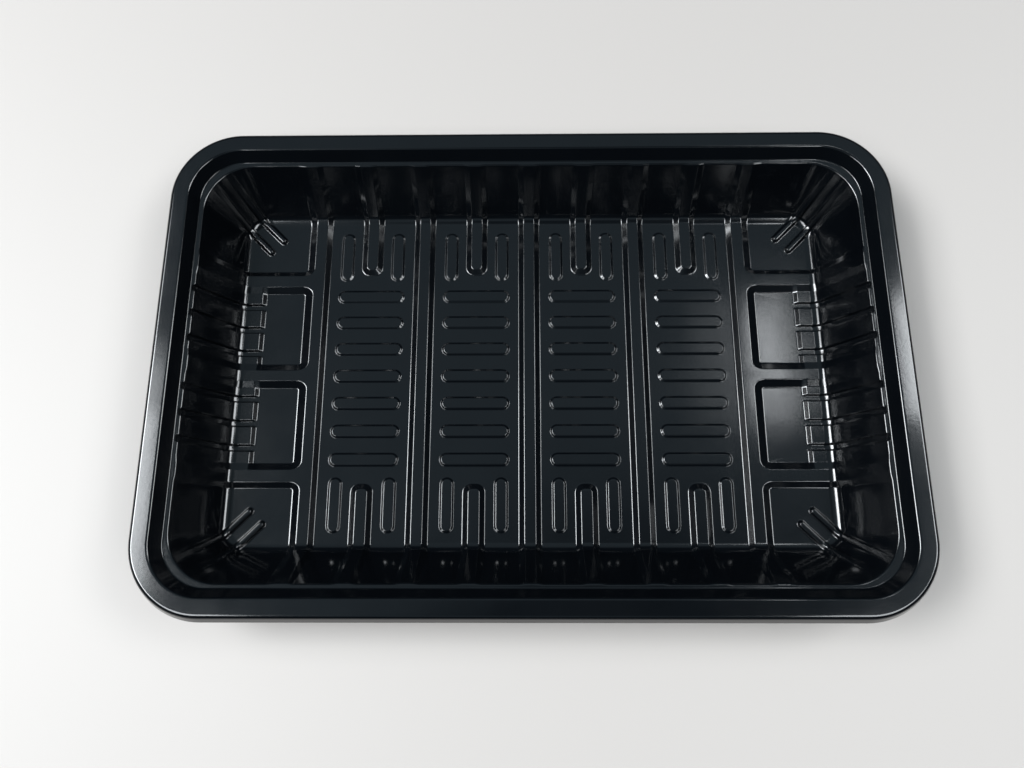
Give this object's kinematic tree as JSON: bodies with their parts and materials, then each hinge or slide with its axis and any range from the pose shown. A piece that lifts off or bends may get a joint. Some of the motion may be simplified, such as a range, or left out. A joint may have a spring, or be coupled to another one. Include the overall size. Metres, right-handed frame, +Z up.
{
  "type": "food tray",
  "caption": "Shallow rectangular thermoformed food tray with a rolled rim, a stacking ledge, sloping walls and a floor stiffened by ribs, ridges, pills and sunk pockets.",
  "frame": {"origin": "middle of the tray on the surface it rests on", "axes": "+X along the long side, +Y towards the back of the picture, +Z up out of the tray's mouth"},
  "size_m": [0.25, 0.1654, 0.0259],
  "materials": {
    "plastic": "satin black, faintly glossy"
  },
  "bodies": {
    "root": {"tray": "plastic"}
  },
  "joints": []
}
